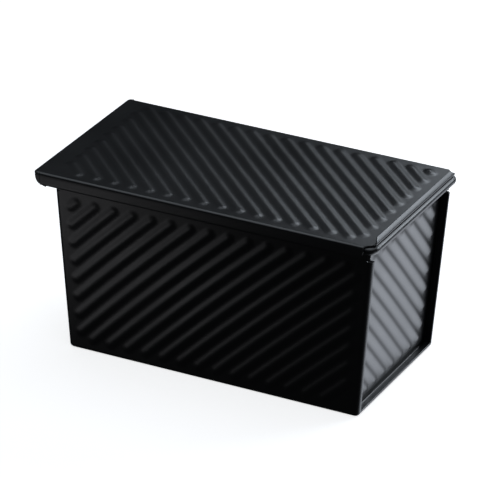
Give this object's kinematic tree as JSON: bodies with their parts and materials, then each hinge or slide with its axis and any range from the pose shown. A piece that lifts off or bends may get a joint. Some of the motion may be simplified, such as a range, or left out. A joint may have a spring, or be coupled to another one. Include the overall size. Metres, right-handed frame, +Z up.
{
  "type": "loaf pan",
  "caption": "Lidded loaf pan: a folded, ribbed steel box with end panels seamed in and a rolled rim, closed by a ribbed lid that slides along the rim.",
  "frame": {"origin": "middle of the flat underside of the body", "axes": "+X along the pan, towards the end where the lid has its upturned lip; +Y across the pan; +Z up"},
  "size_m": [0.2142, 0.116, 0.1138],
  "materials": {
    "body_coating": "black non-stick coating, semi-gloss",
    "lid_coating": "black non-stick coating, semi-gloss",
    "wire_steel": "drawn steel wire, hidden in the rim"
  },
  "bodies": {
    "pan": {"body_sheet": "body_coating", "end_panel_right": "body_coating", "end_panel_left": "body_coating", "rim_wire": "wire_steel"},
    "lid": {"sliding_lid": "lid_coating"}
  },
  "joints": [
    {"name": "lid_slide", "type": "slide", "parent": "pan", "child": "lid", "axis": [-1, 0, 0], "range_m": [-0.0046, 0.21]}
  ]
}
